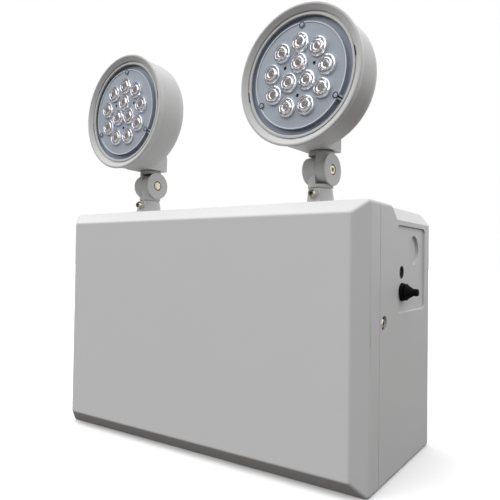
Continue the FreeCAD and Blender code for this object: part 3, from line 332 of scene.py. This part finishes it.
def silvered_dome(name):
    """A clear lens over a bright reflector cone: hard facets that mirror the light and the dark."""
    f = Finish(name)
    facet = f.node("ShaderNodeTexVoronoi", {"feature": "F1"},
                   {"Vector": f.place, "Scale": 300.0}, "Distance")
    ripple = f.noise(500, 1)
    base = f.blend_colour(ripple, (0.90, 0.93, 0.98), (0.74, 0.76, 0.82))
    normal = f.bump(facet, 0.0010, 0.36)
    normal = f.bump(ripple, 0.0004, 0.2, normal)
    return f.done(f.surface(base_color=base, metallic=0.92, roughness=0.07 + ripple * 0.06, normal=normal))


def glowing_chip(name):
    """The yellow phosphor of the light sources, unlit."""
    f = Finish(name)
    cell = f.noise(900, 2)
    base = f.blend_colour(cell, (0.86, 0.74, 0.22), (0.78, 0.62, 0.12))
    normal = f.bump(cell, 0.00005, 0.3)
    return f.done(f.surface(base_color=base, roughness=0.35 + cell * 0.1, normal=normal))


def circuit_board(name):
    """Green solder mask with tracks showing through it."""
    f = Finish(name)
    tracks = f.node("ShaderNodeTexBrick", {"offset": 0.5}, {
        "Vector": f.place, "Scale": 120.0, "Mortar Size": 0.03, "Color1": (0.02, 0.13, 0.05, 1),
        "Color2": (0.025, 0.16, 0.06, 1), "Mortar": (0.05, 0.24, 0.10, 1)})
    speck = f.noise(800, 2)
    base = f.blend_colour(speck * 0.3, tracks, (0.03, 0.10, 0.05))
    normal = f.bump(speck, 0.00004, 0.4)
    return f.done(f.surface(base_color=base, roughness=0.28 + speck * 0.12, normal=normal))


def laminated_steel(name):
    """Varnished steel sheets, stacked, with rust in the varnish."""
    f = Finish(name)
    sheets = f.node("ShaderNodeTexWave", {"bands_direction": "Y"}, {"Vector": f.place, "Scale": 320.0})
    rust = f.noise(90, 4)
    base = f.blend_colour(rust * 0.6, (0.10, 0.10, 0.11), (0.17, 0.11, 0.07))
    normal = f.bump(sheets, 0.0001, 0.5)
    return f.done(f.surface(base_color=base, metallic=0.6, roughness=0.42 + rust * 0.2, normal=normal))


def wound_tape(name):
    """Yellow tape wound round a coil."""
    f = Finish(name)
    layers = f.node("ShaderNodeTexWave", {"bands_direction": "Z"}, {"Vector": f.place, "Scale": 90.0})
    cloud = f.noise(200, 2)
    base = f.blend_colour(cloud, (0.62, 0.47, 0.10), (0.54, 0.40, 0.07))
    normal = f.bump(layers, 0.0002, 0.5)
    return f.done(f.surface(base_color=base, roughness=0.35 + cloud * 0.15, normal=normal))


def cast_aluminium(name):
    """Bare aluminium with a cast skin."""
    f = Finish(name)
    skin = f.noise(700, 3)
    base = f.blend_colour(skin, (0.62, 0.63, 0.65), (0.52, 0.53, 0.55))
    normal = f.bump(skin, 0.00008, 0.5)
    return f.done(f.surface(base_color=base, metallic=1.0, roughness=0.38 + skin * 0.15, normal=normal))


def tinted_lamp(name):
    """The dark red body of the charge lamp, unlit."""
    f = Finish(name)
    swirl = f.noise(500, 2)
    base = f.blend_colour(swirl, (0.17, 0.012, 0.010), (0.10, 0.006, 0.005))
    normal = f.bump(swirl, 0.00002, 0.2)
    return f.done(f.surface(base_color=base, roughness=0.10 + swirl * 0.06, normal=normal, coat_weight=0.8))


CASE_COLOUR = (0.622, 0.624, 0.627)
# Painted shade: the heads' plastic is a darker copy of the case plastic, for the stronger light the heads
# stand in.
HEAD_SHADED_COLOUR = (0.575, 0.577, 0.575)
# Painted shade: a darker copy again for the necks, for the shade under the heads.
NECK_SHADED_COLOUR = (0.46, 0.46, 0.458)

# Every finish by its material slot, or by the look of the pieces that have a closer one
finishes = {
    "case_plastic": moulded_plastic("moulded_case_plastic", CASE_COLOUR),
    # Painted shade: the head and neck finishes are darker copies of the case plastic.
    "shaded_head_plastic": moulded_plastic("moulded_head_plastic", HEAD_SHADED_COLOUR, 0.8, 0.40),
    "shaded_neck_plastic": moulded_plastic("moulded_neck_plastic", NECK_SHADED_COLOUR, 0.8, 0.42),
    "gasket_rubber": soft_rubber("gasket_rubber", (0.006, 0.006, 0.006), 0.6, 0.2),
    "seam_rubber": soft_rubber("seam_rubber", (0.035, 0.035, 0.034), 0.7, 0.2),
    "zinc_steel": screw_metal("bright_zinc_steel", (0.62, 0.61, 0.58), (0.36, 0.35, 0.33)),
    "brassy_steel": screw_metal("yellow_zinc_steel", (0.66, 0.62, 0.52), (0.16, 0.13, 0.09)),
    "black_rubber": soft_rubber("black_rubber", (0.002, 0.002, 0.002), 0.5, 0.06),
    "black_plastic": dark_plastic("black_plastic", (0.014, 0.014, 0.015)),
    "shadow_plastic": dark_plastic("shadow_black_plastic", (0.006, 0.006, 0.007), 0.7),
    "red_lamp": tinted_lamp("dark_red_lamp"),
    "battery_plastic": dark_plastic("battery_plastic", (0.06, 0.065, 0.07), 0.45),
    "brass_tabs": screw_metal("tinned_brass", (0.72, 0.58, 0.32), (0.5, 0.38, 0.18)),
    "core_steel": laminated_steel("laminated_core_steel"),
    "coil_tape": wound_tape("wound_coil_tape"),
    "circuit_board": circuit_board("circuit_board"),
    "board_components": dark_plastic("component_plastic", (0.03, 0.03, 0.034)),
    "dark_steel": screw_metal("dark_steel", (0.10, 0.10, 0.11), (0.05, 0.05, 0.055)),
    "dome_plastic": silvered_dome("clear_silvered_dome"),
    "led_yellow": glowing_chip("led_phosphor"),
    "heat_sink": cast_aluminium("cast_aluminium"),
}


# ---------------------------------------------------------------- places on the lamp heads
def head_frame(side):
    """From a head's own axes, with its lamp axis at the origin and its front towards -Y, to the case."""
    neck = Matrix.Translation((side * NECK_X, NECK_Y, KNUCKLE_Z))
    lean = Matrix.Rotation(HEAD_TURN, 4, "Z") @ Matrix.Rotation(-HEAD_TILT, 4, "X")
    return neck @ lean @ Matrix.Translation((0, 0, HEAD_RISE))


def on_face(side, radius, degrees, forward):
    """A point on a head's face: 0 degrees is to the right as seen from the front, 90 is up."""
    angle = math.radians(degrees)
    return head_frame(side) @ Vector((radius * math.cos(angle), -forward, radius * math.sin(angle)))


def head_axis(side):
    """The way a lamp head looks."""
    return head_frame(side).to_3x3() @ Vector((0, -1, 0))


def dress_cad_nodes():
    """Gives every CAD node the finish of its material slot, or a closer one where a slot holds several."""
    slots = {entry["node"]: entry["material_slot"] for entry in frame["record"]["subparts"]}
    for side, side_name in HEADS:
        finishes[side_name + "_optic_plate"] = moulded_optic(
            side_name + "_moulded_optic", on_face(side, 0, 0, 0), head_axis(side))
    closer = {
        "head_shell": "shaded_head_plastic",
        "bezel": "shaded_head_plastic",
        "knuckle": "shaded_neck_plastic",
        "collar": "shaded_neck_plastic",
        "cover_gasket": "seam_rubber",
        "optic_screws": "dark_steel",
        "cover_screws": "brassy_steel",
        "knuckle_nut": "brassy_steel",
        "knuckle_bolt": "brassy_steel",
        "knuckle_washer": "brassy_steel",
        "left_optic_plate": "left_optic_plate",
        "right_optic_plate": "right_optic_plate",
    }
    for name, obj in frame["nodes"].items():
        finish = slots[name]
        for ending, better in closer.items():
            if name.endswith(ending):
                finish = better
        obj.data.materials.clear()
        obj.data.materials.append(finishes[finish])


dress_cad_nodes()


# ---------------------------------------------------------------- small pieces
def turned_piece(start, axis, profile, vertices=40):
    """A round piece, drawn out ring by ring along an axis. The profile lists (distance, radius) pairs."""
    bpy.ops.object.select_all(action="DESELECT")
    way = Vector(axis).normalized()
    distance, radius = profile[0]
    bpy.ops.mesh.primitive_circle_add(
        vertices=vertices, radius=radius, location=Vector(start) + way * distance,
        rotation=way.to_track_quat("Z", "Y").to_euler())
    piece = bpy.context.object
    bpy.ops.object.transform_apply(location=True, rotation=True, scale=True)
    bpy.ops.object.mode_set(mode="EDIT")
    bpy.ops.mesh.select_all(action="SELECT")
    for next_distance, next_radius in profile[1:]:
        bpy.ops.mesh.extrude_region_move(TRANSFORM_OT_translate={"value": way * (next_distance - distance)})
        if next_radius > 0:
            share = next_radius / radius
            centre = Vector(start) + way * next_distance
            bpy.ops.transform.resize(value=(share, share, share), center_override=centre)
            radius = next_radius
        else:
            bpy.ops.mesh.merge(type="CENTER")
        distance = next_distance
    bpy.ops.mesh.select_all(action="SELECT")
    bpy.ops.mesh.normals_make_consistent(inside=False)
    bpy.ops.object.mode_set(mode="OBJECT")
    return piece


def finished(pieces, name, finish, body, crease=40):
    """Joins pieces, smooths their round faces, and gives them a name, a finish and a body to ride on."""
    bpy.ops.object.select_all(action="DESELECT")
    for piece in pieces:
        piece.select_set(True)
    bpy.context.view_layer.objects.active = pieces[0]
    if len(pieces) > 1:
        bpy.ops.object.join()
    whole = bpy.context.object
    bpy.ops.object.shade_smooth_by_angle(angle=math.radians(crease))
    whole.name = name
    whole.data.materials.append(finishes[finish])
    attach(whole, body)


# One lens of a head: distance in front of the plate, and radius
DOME_PROFILE = (
    (-0.0003, 0.00915), (0.0012, 0.00910), (0.0022, 0.0086), (0.0027, 0.0078), (0.00275, 0.0071),
    (0.0022, 0.0066), (0.0023, 0.0060), (0.0032, 0.0054), (0.0036, 0.0044), (0.0035, 0.0036),
    (0.0031, 0.0030), (0.00335, 0.0015), (0.00345, 0.0),
)


def make_lens_domes(side, side_name):
    """Twelve lenses: nine round the outside and three in the middle."""
    domes = []
    for count, pitch in LENS_CIRCLES:
        for step in range(count):
            centre = on_face(side, pitch, FIRST_ANGLE - 360 * step / count, PLATE_FORWARD)
            domes.append(turned_piece(centre, head_axis(side), DOME_PROFILE))
    finished(domes, side_name + "_lens_domes", "dome_plastic", side_name + "_head", 28)


# The painted shade ring round a boss, and the cap in it: distance in front of the boss, and radius
BOSS_RING_PROFILE = (
    (-0.0002, 0.0029), (0.0002, 0.0028), (0.0002, 0.0021), (-0.0001, 0.0019), (-0.0003, 0.0),
)
BOSS_CAP_PROFILE = ((-0.0003, 0.0018), (0.0001, 0.0017), (0.0002, 0.0014), (0.0002, 0.0))


def make_boss_rings(side, side_name):
    """Painted shade: dark rings round the three bosses near the plate's edge, each with a plain cap in it.
    """
    rings, caps = [], []
    for step in range(BOSS_COUNT):
        centre = on_face(side, BOSS_PITCH, FIRST_ANGLE + 360 * step / BOSS_COUNT, PLATE_FORWARD + BOSS_RISE)
        rings.append(turned_piece(centre, head_axis(side), BOSS_RING_PROFILE, 32))
        caps.append(turned_piece(centre, head_axis(side), BOSS_CAP_PROFILE, 32))
    body = side_name + "_head"
    finished(rings, side_name + "_boss_shade_rings", "shadow_plastic", body)
    finished(caps, side_name + "_boss_caps", side_name + "_optic_plate", body)


def rounded_bar(place, size, rotation):
    """A small bar with rounded edges."""
    bpy.ops.object.select_all(action="DESELECT")
    bpy.ops.mesh.primitive_cube_add(size=1, location=place, rotation=rotation, scale=size)
    bar = bpy.context.object
    bpy.ops.object.transform_apply(location=True, rotation=True, scale=True)
    bpy.ops.object.mode_set(mode="EDIT")
    bpy.ops.mesh.select_all(action="SELECT")
    bpy.ops.mesh.bevel(offset=BAR_ROUNDING, segments=2, affect="EDGES")
    bpy.ops.object.mode_set(mode="OBJECT")
    return bar


def face_turn(side, degrees):
    """The rotation of a bar that lies on a head's face and points outwards at an angle."""
    return (head_frame(side) @ Matrix.Rotation(-math.radians(degrees), 4, "Y")).to_euler()


def make_dark_slots(side, side_name):
    """The shade in the two key slots of the bezel, and in the channel that crosses the plate's edge."""
    bars = []
    for degrees in KEY_SLOT_ANGLES:
        place = on_face(side, KEY_SLOT_PITCH, degrees, PLATE_FORWARD - KEY_SLOT_DEPTH)
        bars.append(rounded_bar(place, KEY_SLOT_SIZE, face_turn(side, degrees)))
    place = on_face(side, CHANNEL_PITCH, CHANNEL_ANGLE, PLATE_FORWARD - CHANNEL_DEPTH)
    bars.append(rounded_bar(place, CHANNEL_SIZE, face_turn(side, CHANNEL_ANGLE)))
    finished(bars, side_name + "_dark_slots", "shadow_plastic", side_name + "_head")


# The rubber boot: distance from the panel, and radius
BOOT_PROFILE = (
    (-0.0002, 0.0081), (0.0003, 0.0083), (0.0020, 0.0083), (0.0026, 0.0080), (0.0031, 0.0068),
    (0.0036, 0.0069), (0.0041, 0.0076), (0.0051, 0.0076), (0.0055, 0.0071), (0.0058, 0.0063),
    (0.0064, 0.0062), (0.0100, 0.0040), (0.0105, 0.0034), (0.0145, 0.0033), (0.0152, 0.0030),
    (0.0155, 0.0023), (0.0157, 0.0),
)


def make_boot():
    """The ribbed rubber boot over the test switch."""
    boot = turned_piece(SWITCH_PLACE, (1, 0, 0), BOOT_PROFILE, 64)
    bpy.ops.object.shade_smooth_by_angle(angle=math.radians(50))
    boot.name = "rubber_boot"
    boot.data.materials.append(finishes["black_rubber"])
    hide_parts("test_switch_boot")
    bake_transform(boot)


# The painted shade in the lamp's hole and round a cover screw: distance from the face, and radius
LAMP_WELL_PROFILE = (
    (-0.0034, 0.00515), (-0.0010, 0.00515), (-0.0002, 0.0059), (-0.0001, 0.0057), (-0.0009, 0.0048),
    (-0.0034, 0.0047),
)
SCREW_WELL_PROFILE = ((-0.0001, 0.0063), (0.0001, 0.0062), (0.0001, 0.0032), (-0.0001, 0.0031))


def make_lamp_well():
    """The black lining of the charge lamp's hole and its bevel: painted shade."""
    well = turned_piece(LAMP_PLACE, (1, 0, 0), LAMP_WELL_PROFILE, 48)
    finished([well], "lamp_hole_shade", "shadow_plastic", "case")


def make_screw_wells():
    """The shade at the bottom of the two holes for the cover screws."""
    wells = []
    for side in (-1, 1):
        floor = (side * (COVER_SCREW_X - COVER_WELL_DEPTH), COVER_SCREW_Y, COVER_SCREW_Z)
        wells.append(turned_piece(floor, (side, 0, 0), SCREW_WELL_PROFILE, 48))
    finished(wells, "screw_wells", "shadow_plastic", "case")


def make_screw_crosses():
    """Dark bars in the cross recesses of the cover screws' and the locking screws' heads: painted shade."""
    bars = []
    for side in (-1, 1):
        cover_head = (side * (COVER_SCREW_X - COVER_CROSS_DEPTH), COVER_SCREW_Y, COVER_SCREW_Z)
        lock_head = (side * NECK_X, LOCK_SCREW_Y + LOCK_CROSS_DEPTH, LOCK_SCREW_Z)
        for angle in (CROSS_TURN, CROSS_TURN + math.pi / 2):
            bars.append(rounded_bar(cover_head, COVER_CROSS_BAR, (angle, 0, 0)))
            bars.append(rounded_bar(lock_head, LOCK_CROSS_BAR, (0, angle, 0)))
    finished(bars, "screw_crosses", "shadow_plastic", "case")


for head_side, head_name in HEADS:
    make_lens_domes(head_side, head_name)
    make_boss_rings(head_side, head_name)
    make_dark_slots(head_side, head_name)
make_boot()
make_lamp_well()
make_screw_wells()
make_screw_crosses()


# ---------------------------------------------------------------- floor, light and camera
def make_floor():
    """A pale floor: white where it is looked at, dim where it only throws light back up."""
    bpy.ops.object.select_all(action="DESELECT")
    bpy.ops.mesh.primitive_plane_add(size=FLOOR_SIZE, location=(0, 0, 0))
    floor = bpy.context.object
    floor.name = "studio_floor"
    f = Finish("pale_floor")
    camera_ray = f.node("ShaderNodeLightPath", {}, {}, "Is Camera Ray")
    glossy_ray, through_ray = f.outputs_of(camera_ray, "Is Glossy Ray", "Is Transmission Ray")
    pale = f.node("ShaderNodeBsdfDiffuse", {}, {"Color": (*FLOOR_COLOUR, 1)})
    mirrored = f.node("ShaderNodeBsdfDiffuse", {}, {"Color": (*FLOOR_IN_GLOSS, 1)})
    bounce = f.node("ShaderNodeBsdfDiffuse", {}, {"Color": (*FLOOR_BOUNCE, 1)})
    unseen = f.node("ShaderNodeMixShader", {}, {0: glossy_ray, 1: bounce, 2: mirrored})
    seen = camera_ray.larger(through_ray)
    mixed = f.node("ShaderNodeMixShader", {}, {0: seen, 1: unseen, 2: pale})
    floor.data.materials.append(f.done(mixed))


def make_sky():
    """Soft light that grows towards the top, as from a large diffuser; the camera sees plain white."""
    world = bpy.data.worlds.new("soft_studio")
    bpy.context.scene.world = world
    f = NodeTree(world)
    direction = f.node("ShaderNodeTexCoord", {}, {}, "Generated")
    height = f.node("ShaderNodeSeparateXYZ", {}, {0: direction}, "Z")
    sideways, = f.outputs_of(height, "X")
    growth = height * (SKY_RISE - SKY_CROWN * height)
    towards_lamp = f.node("ShaderNodeVectorMath", {"operation": "DOT_PRODUCT"},
                          {0: direction, 1: LAMP_SIDE}, "Value")
    glow = (towards_lamp - LAMP_EDGE).larger(0) * LAMP_STRENGTH
    above = height > SKY_HORIZON
    level = (above * (SKY_LEVEL + growth - SKY_SIDE * sideways + glow)).larger(SKY_LEAST)
    camera_ray = f.node("ShaderNodeLightPath", {}, {}, "Is Camera Ray")
    through_ray, glossy_ray = f.outputs_of(camera_ray, "Is Transmission Ray", "Is Glossy Ray")
    seen = camera_ray.larger(through_ray)
    light = f.node("ShaderNodeBackground", {}, {"Color": (1, 1, 1, 1), "Strength": level})
    reach = sideways * WINDOW_SIDE + height * WINDOW_RISE + WINDOW_MARGIN
    window = (reach * WINDOW_SHARPNESS).larger(0).smaller(1)
    tone = f.blend_colour(window, WINDOW_WALL, (1.0, 1.0, 1.0))
    mirrored = f.node("ShaderNodeBackground", {}, {"Color": tone, "Strength": WINDOW_STRENGTH})
    plain = f.node("ShaderNodeBackground", {}, {"Color": (1, 1, 1, 1), "Strength": 1.0})
    unseen = f.node("ShaderNodeMixShader", {}, {0: glossy_ray, 1: light, 2: mirrored})
    mixed = f.node("ShaderNodeMixShader", {}, {0: seen, 1: unseen, 2: plain})
    f.node("ShaderNodeOutputWorld", {}, {"Surface": mixed})


def make_camera():
    """A little above the middle of the case, to its right, and looking across it at both heads."""
    data = bpy.data.cameras.new("camera")
    data.lens = CAMERA_LENS
    data.sensor_width = CAMERA_SENSOR
    data.clip_end = CAMERA_REACH
    camera = bpy.data.objects.new("camera", data)
    bpy.context.collection.objects.link(camera)
    turn = Vector(CAMERA_AHEAD).normalized().to_track_quat("-Z", "Y")
    roll = Quaternion((0, 0, 1), CAMERA_ROLL)
    camera.rotation_mode = "QUATERNION"
    camera.rotation_quaternion = turn @ roll
    camera.location = CAMERA_PLACE
    bpy.context.scene.camera = camera


make_floor()
make_sky()
make_camera()
bpy.context.scene.view_settings.view_transform = "Standard"
